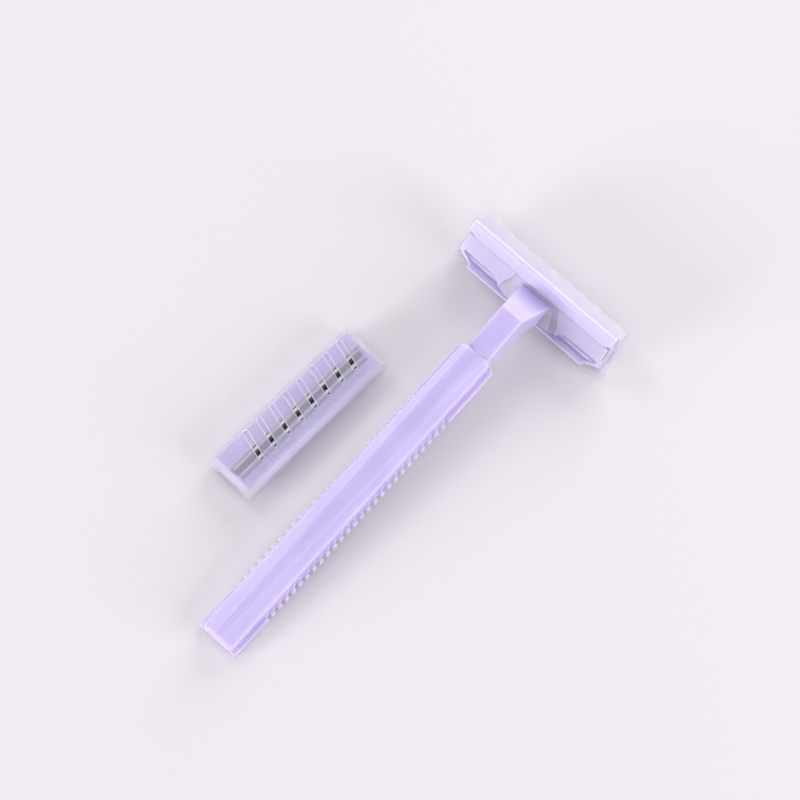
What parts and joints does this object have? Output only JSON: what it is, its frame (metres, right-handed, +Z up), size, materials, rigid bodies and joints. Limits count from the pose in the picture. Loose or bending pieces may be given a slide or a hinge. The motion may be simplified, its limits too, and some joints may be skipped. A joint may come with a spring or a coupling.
{
  "type": "twin-blade cartridge razor",
  "caption": "Twin-blade body razor with a notched grip, bent neck, T-shaped head and slide-on cartridge under a slotted pull-off cover, with a spare covered cartridge lying beside it.",
  "frame": {"origin": "middle of the flat landing under the butt of the handle, on the surface that the razor lies on", "axes": "+Y along the handle from the butt to the head, +Z up from the surface with the cutting side down, +X to the right of the handle"},
  "size_m": [0.0503, 0.112, 0.0147],
  "materials": {
    "handle_plastic": "moulded pale lavender polystyrene, satin",
    "cartridge_plastic": "moulded pale lavender, satin",
    "cover_plastic": "translucent frosted polypropylene",
    "spacer_plastic": "black, matt",
    "blade_steel": "rolled stainless strip with ground edges"
  },
  "bodies": {
    "handle": {"handle": "handle_plastic"},
    "cartridge": {"cartridge_seat": "cartridge_plastic", "lower_blade": "blade_steel", "blade_spacer": "spacer_plastic", "upper_blade": "blade_steel", "cartridge_cap": "cartridge_plastic"},
    "cover": {"blade_cover": "cover_plastic"},
    "spare_cartridge": {"spare_seat": "cartridge_plastic", "spare_lower_blade": "blade_steel", "spare_spacer": "spacer_plastic", "spare_upper_blade": "blade_steel", "spare_cap": "cartridge_plastic"},
    "spare_cover": {"spare_cover": "cover_plastic"}
  },
  "joints": [
    {"name": "cartridge_slide", "type": "slide", "parent": "handle", "child": "cartridge", "axis": [1, 0, 0], "range_m": [0, 0.041]},
    {"name": "cover_pull", "type": "slide", "parent": "cartridge", "child": "cover", "axis": [0, 0.8387, -0.5446], "range_m": [0, 0.008]},
    {"name": "spare_lift", "type": "slide", "parent": "handle", "child": "spare_cartridge", "axis": [0, 0, 1], "range_m": [0, 0.03]},
    {"name": "spare_cover_pull", "type": "slide", "parent": "spare_cartridge", "child": "spare_cover", "axis": [0, 0, 1], "range_m": [0, 0.008]}
  ]
}
